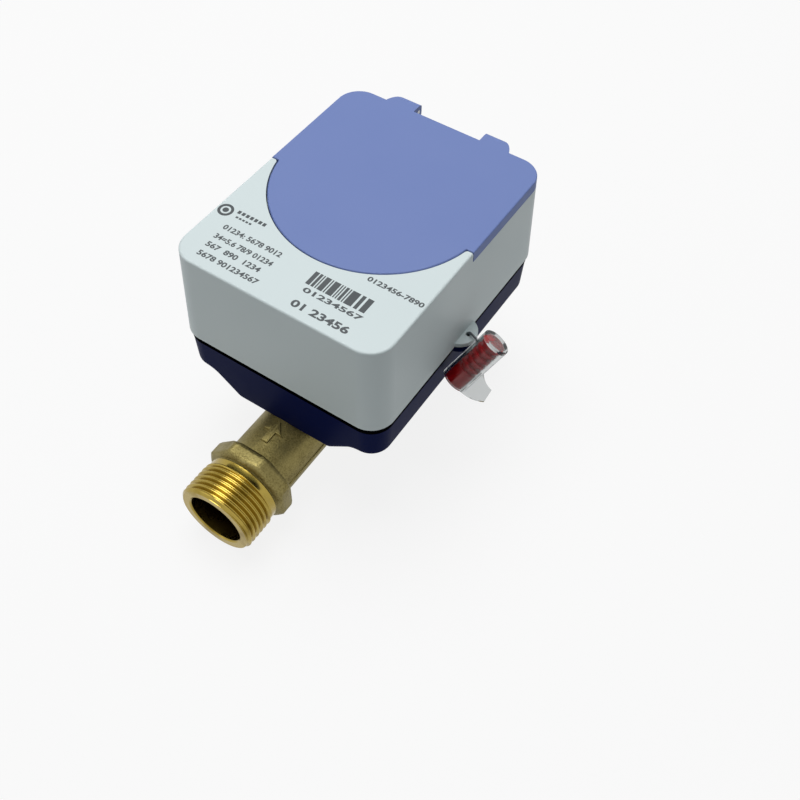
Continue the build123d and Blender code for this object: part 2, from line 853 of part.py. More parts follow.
def screw_group(plane, places, shank, shank_length, head, head_height):
    """Four like screws: the heads stand on the plane, the shanks go down from it."""
    with BuildPart() as group:
        with BuildSketch(plane):
            with corner_places(*places):
                Circle(head)
        extrude(amount=head_height)
        with BuildSketch(plane):
            with corner_places(*places):
                Circle(shank)
        extrude(amount=-shank_length)
    return group


# Screws: base to casting, cover to base from below, and board to cover
base_screws = screw_group(
    level(pad_top + base_wall),
    (base_screw_x, base_screw_y),
    base_screw_radius,
    base_wall + base_screw_depth,
    base_head_radius,
    base_head_height,
)
finish(base_screws, "base_screws")

screw_reach = post_foot + casing_screw_length - head_seat
casing_screws = screw_group(
    Plane((0, casing_centre, head_seat), x_dir=(1, 0, 0), z_dir=(0, 0, -1)),
    (casing_screw_x, casing_screw_y),
    casing_screw_radius,
    screw_reach,
    casing_head_radius,
    casing_head_height,
)
finish(casing_screws, "casing_screws")

board_screws = screw_group(
    Plane((0, casing_centre, board_bottom), x_dir=(1, 0, 0), z_dir=(0, 0, -1)),
    (board_post_x, board_post_y),
    board_screw_radius,
    board_thickness + board_screw_length,
    board_head_radius,
    board_head_height,
)
finish(board_screws, "board_screws")

# Security seal: directions of its barrel and of its flag
seal_foot = Vector(seal_foot_x, seal_foot_y, seal_foot_z)
seal_turn = radians(seal_azimuth)
seal_tilt = radians(seal_elevation)
seal_axis = Vector(cos(seal_tilt) * cos(seal_turn), cos(seal_tilt) * sin(seal_turn), sin(seal_tilt))
seal_side = Vector(sin(seal_turn), -cos(seal_turn), 0)
flag_way = seal_side * cos(radians(flag_roll)) + seal_axis.cross(seal_side) * sin(radians(flag_roll))
seal_plane = Plane(origin=seal_foot, x_dir=flag_way, z_dir=seal_axis)
flag_plane = Plane(origin=seal_foot, x_dir=flag_way, z_dir=flag_way.cross(seal_axis))

# Wire loop through both lugs and the barrel's two side holes
wire_high = seal_foot + seal_axis * wire_high_station
wire_low = seal_foot + seal_axis * wire_low_station
over_lug = Vector(lug_hole_x, lug_y, seam_height + lug_thickness + wire_rise)
under_lug = Vector(lug_hole_x, lug_y, base_rim - lug_thickness - wire_rise)
with BuildPart() as seal_wire:
    with BuildLine() as wire_path:
        FilletPolyline(wire_high, over_lug, under_lug, wire_low, radius=wire_bend)
    with BuildSketch(Plane(origin=wire_high, z_dir=over_lug - wire_high)):
        Circle(wire_radius)
    sweep(path=wire_path.line)
finish(seal_wire, "seal_wire")

# Clear barrel with its flag, and the ribbed core turned into it
with BuildPart() as seal_body:
    with BuildSketch(seal_plane):
        Circle(seal_radius)
    extrude(amount=seal_length)
    fillet(edges().group_by(SortBy.DISTANCE)[-1], seal_edge)
    with BuildSketch(flag_plane):
        with BuildLine():
            ThreePointArc((seal_bore_radius, flag_root_low), flag_bulge_low, flag_corner_low)
            Line(flag_corner_low, flag_corner_high)
            ThreePointArc(flag_corner_high, flag_bulge_high, (seal_bore_radius, flag_root_high))
            Line((seal_bore_radius, flag_root_high), (seal_bore_radius, flag_root_low))
        make_face()
    extrude(amount=flag_thickness / 2, both=True)
    with BuildSketch(seal_plane):
        Circle(seal_bore_radius)
    extrude(amount=seal_length - seal_cap, mode=Mode.SUBTRACT)
    for wire_end, lug_end in ((wire_high, over_lug), (wire_low, under_lug)):
        with BuildSketch(Plane(origin=wire_end, z_dir=lug_end - wire_end)):
            Circle(wire_radius + wire_channel_gap)
        extrude(amount=2 * seal_radius, mode=Mode.SUBTRACT)
finish(seal_body, "seal_body")

rotor_top = seal_length - seal_cap
rib_pitch = (rotor_top - rotor_head) / rotor_rib_count
with BuildPart() as seal_rotor:
    with BuildSketch(seal_plane):
        Circle(rotor_radius)
    extrude(amount=rotor_head)
    with BuildSketch(seal_plane.offset(rotor_head)):
        Circle(rotor_core_radius)
    extrude(amount=rotor_top - rotor_head)
    for rib in range(1, rotor_rib_count + 1):
        with BuildSketch(seal_plane.offset(rotor_head + rib * rib_pitch)):
            Circle(rotor_radius)
        extrude(amount=-rotor_rib)
    for wire_end, lug_end in ((wire_high, over_lug), (wire_low, under_lug)):
        with BuildSketch(Plane(origin=wire_end, z_dir=lug_end - wire_end)):
            Circle(wire_radius + wire_channel_gap)
        extrude(amount=2 * seal_radius, mode=Mode.SUBTRACT)
finish(seal_rotor, "seal_rotor")
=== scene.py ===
# %% [markdown]
# # An ultrasonic water meter
# A brass tube with a thread at each end carries a plastic casing: a dark base, a pale
# cover and a blue lid over the display. The exact solids come from the CAD model, which
# is loaded first and never moved. Everything else in this lesson is added to them.

# %% Load the frame
import json
from math import cos, pi, radians, sin, sqrt

import bmesh
import bpy
from mathutils import Matrix, Vector


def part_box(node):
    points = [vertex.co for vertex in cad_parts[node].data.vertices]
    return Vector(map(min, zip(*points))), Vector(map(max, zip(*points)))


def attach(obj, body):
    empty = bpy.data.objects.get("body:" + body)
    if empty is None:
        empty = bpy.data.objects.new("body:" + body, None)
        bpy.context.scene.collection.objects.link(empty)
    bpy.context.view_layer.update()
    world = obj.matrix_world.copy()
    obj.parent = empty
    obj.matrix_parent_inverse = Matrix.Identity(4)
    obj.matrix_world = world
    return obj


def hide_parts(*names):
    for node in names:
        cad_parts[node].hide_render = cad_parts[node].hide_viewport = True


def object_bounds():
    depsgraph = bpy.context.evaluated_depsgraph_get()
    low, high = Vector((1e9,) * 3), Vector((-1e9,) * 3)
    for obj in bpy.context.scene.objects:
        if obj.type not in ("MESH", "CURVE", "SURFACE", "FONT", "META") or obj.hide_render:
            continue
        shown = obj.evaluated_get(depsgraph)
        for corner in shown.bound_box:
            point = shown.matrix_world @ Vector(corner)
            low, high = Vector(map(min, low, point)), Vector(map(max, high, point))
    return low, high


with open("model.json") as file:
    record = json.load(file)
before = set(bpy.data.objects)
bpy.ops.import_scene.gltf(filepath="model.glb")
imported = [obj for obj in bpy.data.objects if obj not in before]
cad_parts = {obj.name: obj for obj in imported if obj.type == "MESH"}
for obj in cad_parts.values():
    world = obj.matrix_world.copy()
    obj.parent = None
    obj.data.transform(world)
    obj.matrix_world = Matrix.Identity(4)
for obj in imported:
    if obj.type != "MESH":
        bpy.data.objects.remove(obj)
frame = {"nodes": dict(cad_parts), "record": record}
nodes = frame["nodes"]
cad_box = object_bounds()
print(len(nodes), "nodes from the CAD model")
print("CAD box", [tuple(round(v, 4) for v in c) for c in cad_box])

# %% [markdown]
# Three sizes of the tube are used by several pieces and finishes below, so they are
# written once. Some other sizes are read from the boxes of CAD nodes where needed.

# %% Sizes of the tube, in millimetres
meter_length = 195.0
tube_radius = 14.2
bore_radius = 11.9
print("the tube is", meter_length, "mm long")

# %% [markdown]
# ## The camera
# The photograph was taken from above and to the right of the inlet. The camera stands at
# the same place and has the same tilt, so that the render and the photograph can be laid
# over each other. Its three directions are worked out from two angles and a small roll.

# %% Camera
camera_place = Vector((0.1567, -0.1242, 0.3387))
turn, rise, roll = radians(31.336), radians(53.719), radians(2.415)
towards_camera = Vector((sin(turn) * cos(rise), -cos(turn) * cos(rise), sin(rise)))
level_right = Vector((0, 0, 1)).cross(towards_camera).normalized()
level_up = towards_camera.cross(level_right)
camera_right = level_right * cos(roll) + level_up * sin(roll)
camera_up = level_up * cos(roll) - level_right * sin(roll)

camera_data = bpy.data.cameras.new("camera")
camera_data.sensor_width = 36.0
camera_data.lens = 44.957
camera_data.clip_start = 0.01
camera = bpy.data.objects.new("camera", camera_data)
camera_axes = Matrix((camera_right, camera_up, towards_camera)).transposed()
camera.matrix_world = Matrix.Translation(camera_place) @ camera_axes.to_4x4()
bpy.context.scene.collection.objects.link(camera)
bpy.context.scene.camera = camera
print("camera stands", round(camera_place.length * 1000), "mm from the inlet")

# %% [markdown]
# ## Light and floor
# Small plastic and brass things are shown under a large soft lamp, with a weak one in
# front, so that shadows are faint and edges stay clear. The world gives an even dim fill.
# Rays that come straight from the camera, or by way of metal or clear plastic, see white
# instead, and the floor adds white for them too, which keeps the object's shadow pale.


# %% Rays that see the background
def calculate(tree, operation, first, second):
    """A math node whose inputs are sockets or plain numbers."""
    node = tree.nodes.new("ShaderNodeMath")
    node.operation = operation
    for socket, value in zip(node.inputs, (first, second)):
        if isinstance(value, (int, float)):
            socket.default_value = value
        else:
            tree.links.new(value, socket)
    return node.outputs[0]


def background_rays(tree):
    """Gives 1 for rays from the camera and for those off metal or through clear plastic."""
    path = tree.nodes.new("ShaderNodeLightPath")
    glossy, through = path.outputs["Is Glossy Ray"], path.outputs["Is Transmission Ray"]
    bent = calculate(tree, "MAXIMUM", glossy, through)
    return calculate(tree, "MAXIMUM", path.outputs["Is Camera Ray"], bent)


# %% World
scene = bpy.context.scene
scene.view_settings.view_transform = "Standard"
world = bpy.data.worlds.new("studio")
world.use_nodes = True
scene.world = world
sky = world.node_tree
sky.nodes.clear()
world_out = sky.nodes.new("ShaderNodeOutputWorld")
fill_light = sky.nodes.new("ShaderNodeBackground")
fill_light.inputs["Color"].default_value = (0.96, 0.98, 1.0, 1)
fill_light.inputs["Strength"].default_value = 0.16
white_light = sky.nodes.new("ShaderNodeBackground")
white_light.inputs["Color"].default_value = (1, 1, 1, 1)
white_light.inputs["Strength"].default_value = 1.0
choose = sky.nodes.new("ShaderNodeMixShader")
sky.links.new(background_rays(sky), choose.inputs[0])
sky.links.new(fill_light.outputs[0], choose.inputs[1])
sky.links.new(white_light.outputs[0], choose.inputs[2])
sky.links.new(choose.outputs[0], world_out.inputs[0])
print("the world has", len(sky.nodes), "nodes")


# %% Lamps
def soft_lamp(name, place, target, width, watts):
    """A square area lamp that faces its target."""
    data = bpy.data.lights.new(name, "AREA")
    data.size = width
    data.energy = watts
    lamp = bpy.data.objects.new(name, data)
    lamp.location = place
    lamp.rotation_euler = (Vector(target) - Vector(place)).to_track_quat("-Z", "Y").to_euler()
    scene.collection.objects.link(lamp)
    print(name, "gives", watts, "W over", width, "m")
    return lamp


middle = (0, 0.1, 0.04)
soft_lamp("overhead_lamp", (-0.25, 0.35, 1.3), middle, 0.9, 15.6)
soft_lamp("front_lamp", (-0.9, -1.0, 0.7), middle, 0.8, 1.2)

# %% [markdown]
# The floor is one large square of pale paper, just under the lowest point of the meter. It
# could simply glow white, but then no shadow would fall on it, so a dull surface that
# takes shadow is mixed with the glow.

# %% Floor
floor_half_width = 3.0
floor_gap = 0.0003
paper_brightness = 0.75
paper_whiteness = 0.86
floor_mesh = bpy.data.meshes.new("floor")
floor_shape = bmesh.new()
bmesh.ops.create_grid(floor_shape, x_segments=1, y_segments=1, size=floor_half_width)
floor_height = cad_box[0][2] - floor_gap
bmesh.ops.translate(floor_shape, vec=(0, 0, floor_height), verts=floor_shape.verts)
floor_shape.to_mesh(floor_mesh)
floor_shape.free()
floor = bpy.data.objects.new("floor", floor_mesh)
scene.collection.objects.link(floor)

paper = bpy.data.materials.new("pale_paper")
paper.use_nodes = True
paper_tree = paper.node_tree
paper_base = paper_tree.nodes["Principled BSDF"]
paper_base.inputs["Base Color"].default_value = (paper_brightness,) * 3 + (1,)
paper_base.inputs["Roughness"].default_value = 0.9
paper_base.inputs["Specular IOR Level"].default_value = 0.0
paper_glow = paper_tree.nodes.new("ShaderNodeEmission")
paper_glow.inputs["Strength"].default_value = 1.0
paper_white = calculate(paper_tree, "MULTIPLY", background_rays(paper_tree), paper_whiteness)
paper_mix = paper_tree.nodes.new("ShaderNodeMixShader")
paper_tree.links.new(paper_white, paper_mix.inputs[0])
paper_tree.links.new(paper_base.outputs[0], paper_mix.inputs[1])
paper_tree.links.new(paper_glow.outputs[0], paper_mix.inputs[2])
paper_tree.links.new(paper_mix.outputs[0], paper_tree.nodes["Material Output"].inputs[0])
floor_mesh.materials.append(paper)
print("floor lies at", round(floor_height * 1000, 2), "mm")

# %% [markdown]
# ## Effects that several finishes share
# Moulded plastic, cast brass and turned brass each have a skin of their own. Each skin is
# a node group with a few named settings, so that one good pattern serves many pieces.
# The patterns read the piece's own coordinates in metres, and scales are given per metre.


# %% Helpers for node trees
def group_of_nodes(name, settings, results):
    """An empty shader node group with named inputs and outputs."""
    group = bpy.data.node_groups.new(name, "ShaderNodeTree")
    for label, kind, value in settings:
        socket = group.interface.new_socket(name=label, in_out="INPUT", socket_type=kind)
        socket.default_value = value
    for label, kind in results:
        group.interface.new_socket(name=label, in_out="OUTPUT", socket_type=kind)
    return group, group.nodes.new("NodeGroupInput"), group.nodes.new("NodeGroupOutput")


def noise(tree, coordinates, detail, scale=1, scale_from=None):
    """A noise texture, its scale a number or taken from a socket."""
    texture = tree.nodes.new("ShaderNodeTexNoise")
    texture.inputs["Scale"].default_value = scale
    texture.inputs["Detail"].default_value = detail
    tree.links.new(coordinates, texture.inputs["Vector"])
    if scale_from is not None:
        tree.links.new(scale_from, texture.inputs["Scale"])
    return texture.outputs["Fac"]


def remap(tree, value, low, high, new_low, new_high):
    """Turns the span from low to high into the span from new_low to new_high."""
    node = tree.nodes.new("ShaderNodeMapRange")
    for socket, number in zip(node.inputs[1:5], (low, high, new_low, new_high)):
        socket.default_value = number
    tree.links.new(value, node.inputs["Value"])
    return node.outputs["Result"]


def blend_colours(tree, factor, first, second):
    """Mixes two colours, each a socket or a colour."""
    node = tree.nodes.new("ShaderNodeMix")
    node.data_type = "RGBA"
    tree.links.new(factor, node.inputs["Factor"])
    for socket, value in zip((node.inputs[6], node.inputs[7]), (first, second)):
        if isinstance(value, tuple):
            socket.default_value = value
        else:
            tree.links.new(value, socket)
    return node.outputs[2]


def paint(red, green, blue):
    """A colour as read off a screen, from 0 to 255, made linear for the shader."""
    linear = []
    for channel in (red / 255, green / 255, blue / 255):
        dark = channel <= 0.04045
        linear.append(channel / 12.92 if dark else ((channel + 0.055) / 1.055) ** 2.4)
    return tuple(linear) + (1,)


# %% [markdown]
# Moulded plastic has a very fine spark-eroded grain, broad faint changes of gloss where
# it has been handled, and corners that are rubbed a little lighter. The rubbed corners
# could be painted by hand, but a mask finds them on every piece: it compares the true
# normal with one rounded over half a millimetre.

# %% Moulded skin
moulded_skin, skin_in, skin_out = group_of_nodes(
    "moulded_skin",
    [
        ("Colour", "NodeSocketColor", (0.8, 0.8, 0.8, 1)),
        ("Worn Colour", "NodeSocketColor", (0.9, 0.9, 0.9, 1)),
        ("Grain Scale", "NodeSocketFloat", 2500.0),
        ("Smooth", "NodeSocketFloat", 0.35),
        ("Rough", "NodeSocketFloat", 0.5),
        ("Wear", "NodeSocketFloat", 0.4),
    ],
    [
        ("Colour", "NodeSocketColor"),
        ("Roughness", "NodeSocketFloat"),
        ("Height", "NodeSocketFloat"),
    ],
)
place = moulded_skin.nodes.new("ShaderNodeTexCoord").outputs["Object"]
grain = noise(moulded_skin, place, 2, scale_from=skin_in.outputs["Grain Scale"])
handled = noise(moulded_skin, place, 3, scale=38)
sharp = moulded_skin.nodes.new("ShaderNodeNewGeometry").outputs["Normal"]
rounded = moulded_skin.nodes.new("ShaderNodeBevel")
rounded.samples = 4
rounded.inputs["Radius"].default_value = 0.0005
agree = moulded_skin.nodes.new("ShaderNodeVectorMath")
agree.operation = "DOT_PRODUCT"
moulded_skin.links.new(sharp, agree.inputs[0])
moulded_skin.links.new(rounded.outputs[0], agree.inputs[1])
corner = remap(moulded_skin, agree.outputs["Value"], 0.99, 0.8, 0, 1)
uneven = remap(moulded_skin, handled, 0.3, 0.6, 0.3, 1)
rub = calculate(moulded_skin, "MULTIPLY", corner, uneven)
rub = calculate(moulded_skin, "MULTIPLY", rub, skin_in.outputs["Wear"])
fresh, rubbed = skin_in.outputs["Colour"], skin_in.outputs["Worn Colour"]
worn = blend_colours(moulded_skin, rub, fresh, rubbed)
moulded_skin.links.new(worn, skin_out.inputs["Colour"])
gloss = moulded_skin.nodes.new("ShaderNodeMapRange")
gloss.inputs["From Min"].default_value = 0.3
gloss.inputs["From Max"].default_value = 0.7
moulded_skin.links.new(handled, gloss.inputs["Value"])
moulded_skin.links.new(skin_in.outputs["Smooth"], gloss.inputs["To Min"])
moulded_skin.links.new(skin_in.outputs["Rough"], gloss.inputs["To Max"])
moulded_skin.links.new(gloss.outputs["Result"], skin_out.inputs["Roughness"])
moulded_skin.links.new(grain, skin_out.inputs["Height"])
print("moulded_skin has", len(moulded_skin.nodes), "nodes")

# %% [markdown]
# Sand-cast brass is pitted at two sizes and darker in its pits. It is tumbled after it is
# cast, so its high spots are a little brighter. The pits are too small to show in the
# outline, so they are relief in the shader and not in the mesh.

# %% Cast skin
cast_skin, cast_in, cast_out = group_of_nodes(
    "cast_skin",
    [
        ("Colour", "NodeSocketColor", (0.3, 0.25, 0.1, 1)),
        ("Pit Colour", "NodeSocketColor", (0.1, 0.08, 0.03, 1)),
        ("Pit Scale", "NodeSocketFloat", 900.0),
    ],
    [
        ("Colour", "NodeSocketColor"),
        ("Roughness", "NodeSocketFloat"),
        ("Height", "NodeSocketFloat"),
    ],
)
place = cast_skin.nodes.new("ShaderNodeTexCoord").outputs["Object"]
pits = cast_skin.nodes.new("ShaderNodeTexVoronoi")
cast_skin.links.new(place, pits.inputs["Vector"])
cast_skin.links.new(cast_in.outputs["Pit Scale"], pits.inputs["Scale"])
sand = noise(cast_skin, place, 4, scale=1700)
mottle = noise(cast_skin, place, 3, scale=160)
pit_relief = calculate(cast_skin, "MULTIPLY", pits.outputs["Distance"], 0.6)
surface = calculate(cast_skin, "ADD", pit_relief, sand)
low_spots = remap(cast_skin, surface, 0.45, 0.95, 1, 0)
dull_areas = remap(cast_skin, mottle, 0.35, 0.65, 0.4, 1)
low_spots = calculate(cast_skin, "MULTIPLY", low_spots, dull_areas)
high, low = cast_in.outputs["Colour"], cast_in.outputs["Pit Colour"]
shade = blend_colours(cast_skin, low_spots, high, low)
cast_skin.links.new(shade, cast_out.inputs["Colour"])
cast_roughness = remap(cast_skin, mottle, 0.3, 0.7, 0.42, 0.6)
cast_skin.links.new(cast_roughness, cast_out.inputs["Roughness"])
cast_skin.links.new(surface, cast_out.inputs["Height"])
print("cast_skin has", len(cast_skin.nodes), "nodes")

# %% [markdown]
# A lathe leaves fine rings that run round the axis of the tube, so the pattern depends on
# the place along Y only, broken up by a little noise.

# %% Turned skin
turned_skin, turned_in, turned_out = group_of_nodes(
    "turned_skin",
    [
        ("Colour", "NodeSocketColor", (0.7, 0.5, 0.15, 1)),
        ("Stain Colour", "NodeSocketColor", (0.4, 0.28, 0.08, 1)),
        ("Ring Scale", "NodeSocketFloat", 2600.0),
    ],
    [
        ("Colour", "NodeSocketColor"),
        ("Roughness", "NodeSocketFloat"),
        ("Height", "NodeSocketFloat"),
    ],
)
place = turned_skin.nodes.new("ShaderNodeTexCoord").outputs["Object"]
along = turned_skin.nodes.new("ShaderNodeMapping")
along.inputs["Scale"].default_value = (0.03, 1, 0.03)
turned_skin.links.new(place, along.inputs["Vector"])
rings = noise(turned_skin, along.outputs[0], 3, scale_from=turned_in.outputs["Ring Scale"])
stain = noise(turned_skin, place, 4, scale=120)
tarnish = remap(turned_skin, stain, 0.48, 0.72, 0, 0.7)
clean, stained = turned_in.outputs["Colour"], turned_in.outputs["Stain Colour"]
tone = blend_colours(turned_skin, tarnish, clean, stained)
turned_skin.links.new(tone, turned_out.inputs["Colour"])
turned_roughness = remap(turned_skin, stain, 0.3, 0.7, 0.18, 0.34)
turned_skin.links.new(turned_roughness, turned_out.inputs["Roughness"])
turned_skin.links.new(rings, turned_out.inputs["Height"])
print("turned_skin has", len(turned_skin.nodes), "nodes")


# %% [markdown]
# ## The finishes
# A finish is one Principled shader. A skin group gives it its colour, roughness and
# height, and the settings that are the same all over stay on the shader itself.


# %% Making a finish
def shader_of(material):
    """The Principled shader of a material."""
    return material.node_tree.nodes["Principled BSDF"]


def finish_with(skin, name, depth, metal=0.0, **settings):
    """A material whose colour, roughness and relief come from a skin group."""
    material = bpy.data.materials.new(name)
    material.use_nodes = True
    tree = material.node_tree
    shader = shader_of(material)
    shader.inputs["Metallic"].default_value = metal
    node = tree.nodes.new("ShaderNodeGroup")
    node.node_tree = skin
    for label, value in settings.items():
        node.inputs[label.replace("_", " ")].default_value = value
    relief = tree.nodes.new("ShaderNodeBump")
    relief.inputs["Distance"].default_value = depth
    tree.links.new(node.outputs["Colour"], shader.inputs["Base Color"])
    tree.links.new(node.outputs["Roughness"], shader.inputs["Roughness"])
    tree.links.new(node.outputs["Height"], relief.inputs["Height"])
    tree.links.new(relief.outputs[0], shader.inputs["Normal"])
    return material


def moulded(name, colour, worn_colour, smooth=0.38, rough=0.5, wear=0.4, shine=0.5):
    """Moulded plastic or rubber, where shine sets how much light its skin throws back."""
    material = finish_with(
        moulded_skin,
        name,
        grain_depth,
        Colour=paint(*colour),
        Worn_Colour=paint(*worn_colour),
        Smooth=smooth,
        Rough=rough,
        Wear=wear,
    )
    shader_of(material).inputs["Specular IOR Level"].default_value = shine
    return material


def turned(name, colour, stain_colour, depth=0.000006):
    """Machined or drawn metal."""
    return finish_with(
        turned_skin,
        name,
        depth,
        metal=1.0,
        Colour=paint(*colour),
        Stain_Colour=paint(*stain_colour),
    )


# %% [markdown]
# The casing is three moulded plastics and a rubber seal. They differ only in colour, gloss
# and wear, so one skin serves all four. Each has a pair of colours: one as it was moulded,
# and a lighter one for its rubbed corners. The base throws back hardly any light.

# %% Finishes of the casing
grain_depth = 0.00001
pale, pale_worn = (210, 222, 223), (224, 232, 232)
navy, navy_worn = (10, 22, 70), (36, 50, 96)
blue, blue_worn = (108, 127, 182), (120, 138, 190)
soot, soot_worn = (12, 12, 14), (20, 20, 23)
cover_finish = moulded("cover_plastic", pale, pale_worn, 0.42, 0.52, shine=0.3)
base_finish = moulded("base_plastic", navy, navy_worn, 0.34, 0.44, wear=0.2, shine=0.012)
lid_finish = moulded("lid_plastic", blue, blue_worn, 0.5, 0.58, wear=0.15, shine=0.3)
gasket_finish = moulded("seal_rubber", soot, soot_worn, 0.7, 0.9, shine=0.0)
print("casing finishes:", cover_finish.name, base_finish.name, lid_finish.name, gasket_finish.name)

# %% [markdown]
# The tube is bright outside and browned in its bore, where water stands. A second material
# would end in a hard line, so the shader finds the bore by its distance from the axis. The
# brown then deepens with the distance from the nearer mouth, as painted shade in the bore.


# %% Browned bore with painted shade
brown_edge = 0.4
painted_shade_start, painted_shade_full = 0.001, 0.009


def stain_and_shade_bore(material, brown):
    """Mixes a brown stain into a brass finish in the bore, darker deeper in as painted shade."""
    tree = material.node_tree
    shader = shader_of(material)
    parts = tree.nodes.new("ShaderNodeSeparateXYZ")
    tree.links.new(tree.nodes.new("ShaderNodeTexCoord").outputs["Object"], parts.inputs[0])
    x, y, z = parts.outputs
    squares = [calculate(tree, "MULTIPLY", side, side) for side in (x, z)]
    from_axis = calculate(tree, "SQRT", calculate(tree, "ADD", *squares), 0)
    from_outlet = calculate(tree, "SUBTRACT", meter_length / 1000, y)
    from_mouth = calculate(tree, "MINIMUM", y, from_outlet)
    bore_edge = bore_radius + brown_edge
    in_bore = remap(tree, from_axis, bore_edge / 1000, bore_radius / 1000, 0, 1)
    # The brown grows stronger away from the mouth: painted shade inside the bore.
    painted_shade_deepening = remap(tree, from_mouth, painted_shade_start, painted_shade_full, 0.3, 1)
    share = calculate(tree, "MULTIPLY", in_bore, painted_shade_deepening)
    bright = shader.inputs["Base Color"].links[0].from_socket
    tree.links.new(blend_colours(tree, share, bright, brown), shader.inputs["Base Color"])


# %% Finishes of the tube
pit_depth = 0.00007
cast_finish = finish_with(
    cast_skin,
    "cast_brass",
    pit_depth,
    metal=1.0,
    Colour=paint(138, 127, 80),
    Pit_Colour=paint(94, 83, 44),
    Pit_Scale=1300,
)
thread_finish = turned("turned_brass", (166, 145, 70), (128, 106, 36), depth=0.000015)
# This brown is the bore's stain, and deeper in it is also painted shade.
bore_stain_and_shade = paint(64, 40, 14)
for brass in (cast_finish, thread_finish):
    stain_and_shade_bore(brass, bore_stain_and_shade)
print("tube finishes:", cast_finish.name, thread_finish.name)

# %% [markdown]
# The smaller pieces are moulded or turned as well. Most of them lie inside the casing. A
# table of slot, colour and rubbed or stained colour is enough for them.

# %% Finishes of the smaller pieces
small_finishes = {
    "insert_plastic": moulded("insert_plastic", (34, 34, 36), (60, 60, 62)),
    "mirror_steel": turned("mirror_steel", (214, 216, 218), (190, 192, 196), 0.000004),
    "sensor_plastic": moulded("sensor_plastic", (52, 52, 55), (80, 80, 84)),
    "lead_rubber": moulded("lead_rubber", (26, 26, 30), (44, 44, 48), 0.45, 0.6),
    "screw_steel": turned("screw_steel", (196, 198, 200), (160, 158, 150), 0.000008),
    "frame_plastic": moulded("frame_plastic", (226, 226, 222), (240, 240, 238)),
    "board_laminate": moulded("board_laminate", (22, 92, 58), (120, 130, 96), 0.25, 0.4),
    "chip_plastic": moulded("chip_plastic", (24, 24, 25), (50, 50, 52)),
    "shield_metal": turned("shield_metal", (200, 201, 203), (170, 170, 168)),
    "can_aluminium": turned("can_aluminium", (208, 210, 213), (180, 182, 186)),
    "socket_plastic": moulded("socket_plastic", (230, 226, 208), (240, 238, 226)),
    "antenna_brass": turned("antenna_brass", (222, 188, 108), (176, 140, 70)),
    "cell_sleeve": moulded("cell_sleeve", (74, 112, 84), (120, 146, 124), 0.2, 0.3),
    "spring_steel": turned("spring_steel", (196, 198, 200), (150, 150, 148)),
    "pin_steel": turned("pin_steel", (170, 172, 174), (120, 118, 114)),
    "wire_steel": turned("wire_steel", (120, 122, 126), (84, 84, 86)),
    "seal_red": moulded("seal_red", (168, 10, 18), (196, 52, 58), 0.2, 0.32),
    "display_glass": moulded(
        "display_glass", (158, 168, 152), (180, 188, 174), 0.12, 0.2, wear=0.0
    ),
}
print(len(small_finishes), "finishes for the smaller pieces")


# %% [markdown]
# Clear plastic lets most light through. The window is flat and polished, and the seal's
# barrel has a slight haze. Light that travels on to what lies inside would be lost in the
# shader, so rays that test for shadow pass through a plain transparent one instead.

# %% Clear finishes
clear_depth = 0.000004
haze = 0.08


def clear(name, colour, rough, index):
    """Clear plastic, tinted by its base colour, that lets light in to what it covers."""
    material = finish_with(
        moulded_skin,
        name,
        clear_depth,
        Colour=paint(*colour),
        Worn_Colour=paint(*colour),
        Smooth=rough,
        Rough=rough + haze,
        Wear=0.0,
    )
    shader = shader_of(material)
    shader.inputs["Transmission Weight"].default_value = 1.0
    shader.inputs["IOR"].default_value = index
    tree = material.node_tree
    open_way = tree.nodes.new("ShaderNodeBsdfTransparent")
    tint_per_wall = tuple(sqrt(channel) for channel in paint(*colour))
    open_way.inputs["Color"].default_value = tint_per_wall
    ray = tree.nodes.new("ShaderNodeLightPath")
    either = tree.nodes.new("ShaderNodeMixShader")
    tree.links.new(ray.outputs["Is Shadow Ray"], either.inputs[0])
    tree.links.new(shader.outputs[0], either.inputs[1])
    tree.links.new(open_way.outputs[0], either.inputs[2])
    tree.links.new(either.outputs[0], tree.nodes["Material Output"].inputs[0])
    return material


window_finish = clear("window_clear", (240, 245, 245), 0.02, 1.45)
barrel_finish = clear("seal_clear", (200, 203, 203), 0.04, 1.3)
print("clear finishes:", window_finish.name, barrel_finish.name)

# %% [markdown]
# Each node of the CAD model now gets the finish of its material slot.

# %% Dress the CAD nodes
finishes = dict(small_finishes)
finishes["cast_brass"] = cast_finish
finishes["turned_brass"] = thread_finish
finishes["cover_plastic"] = cover_finish
finishes["base_plastic"] = base_finish
finishes["lid_plastic"] = lid_finish
finishes["seal_rubber"] = gasket_finish
finishes["window_clear"] = window_finish
finishes["seal_clear"] = barrel_finish
for row in frame["record"]["subparts"]:
    mesh = nodes[row["node"]].data
    mesh.materials.clear()
    mesh.materials.append(finishes[row["material_slot"]])
print("dressed", len(nodes), "nodes with", len(finishes), "finishes")


# %% [markdown]
# ## Making new pieces
# Shapes are drawn in millimetres, because that is how a maker reads them, and are scaled
# to metres when they become an object. Each piece rides on the body that carries it.


# %% From shape to piece
sharp_angle = 35


def piece_of(shape, name, material, body="meter"):
    """Turns a shape in millimetres into a piece that rides on a body."""
    bmesh.ops.recalc_face_normals(shape, faces=shape.faces)
    bmesh.ops.scale(shape, vec=(0.001, 0.001, 0.001), verts=shape.verts)
    mesh = bpy.data.meshes.new(name)
    shape.to_mesh(mesh)
    shape.free()
    mesh.shade_smooth()
    mesh.set_sharp_from_angle(angle=radians(sharp_angle))
    mesh.materials.append(material)
    made = bpy.data.objects.new(name, mesh)
    scene.collection.objects.link(made)
    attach(made, body)
    print(name, "has", len(mesh.polygons), "faces")
    return made


def verts_in(geometry):
    """The vertices among the things that an operator gives back."""
    return [thing for thing in geometry if isinstance(thing, bmesh.types.BMVert)]


